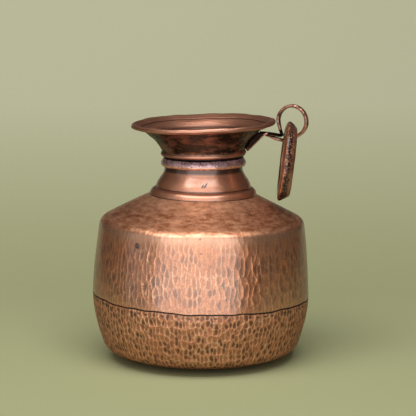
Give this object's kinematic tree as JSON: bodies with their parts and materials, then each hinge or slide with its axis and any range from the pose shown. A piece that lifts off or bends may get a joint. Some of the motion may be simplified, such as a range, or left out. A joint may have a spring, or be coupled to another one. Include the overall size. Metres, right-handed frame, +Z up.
{
  "type": "water pot",
  "caption": "Hammered copper water pot: lapped belly seam, sloping shoulder, conical neck with a peened band, wire-rolled flared mouth, and a forged ear with a loose ring.",
  "frame": {"origin": "centre of the flat base, on the ground the pot stands on", "axes": "+Z up the pot, +X towards the ear and its ring, +Y away from the side the picture shows"},
  "size_m": [0.23, 0.23, 0.27],
  "materials": {
    "hammered_copper": "copper, planished with overlapping hammer marks, brown in the hollows and bright on the ridges",
    "burnished_copper": "copper, smooth and rubbed bright, with dark tarnish in the grooves",
    "darkened_copper": "copper, pitted and tarnished nearly black above, rubbed bright on its lower edge",
    "forged_copper": "copper, forged and filed, brown and pitted with bright worn edges"
  },
  "bodies": {
    "pot": {"lower_bowl": "hammered_copper", "upper_body": "hammered_copper", "neck": "burnished_copper", "neck_band": "darkened_copper", "mouth": "burnished_copper", "rim_wire": "burnished_copper", "ear": "forged_copper", "rivet_lower": "forged_copper", "rivet_upper": "forged_copper"},
    "carry_ring": {"carry_ring": "forged_copper"}
  },
  "joints": [
    {"name": "carry_ring_swing", "type": "hinge", "parent": "pot", "child": "carry_ring", "pos_m": [0.0943, -0.0005, 0.2335], "axis": [0.9931, -0.0243, -0.1149], "range_deg": [-76, 76]}
  ]
}
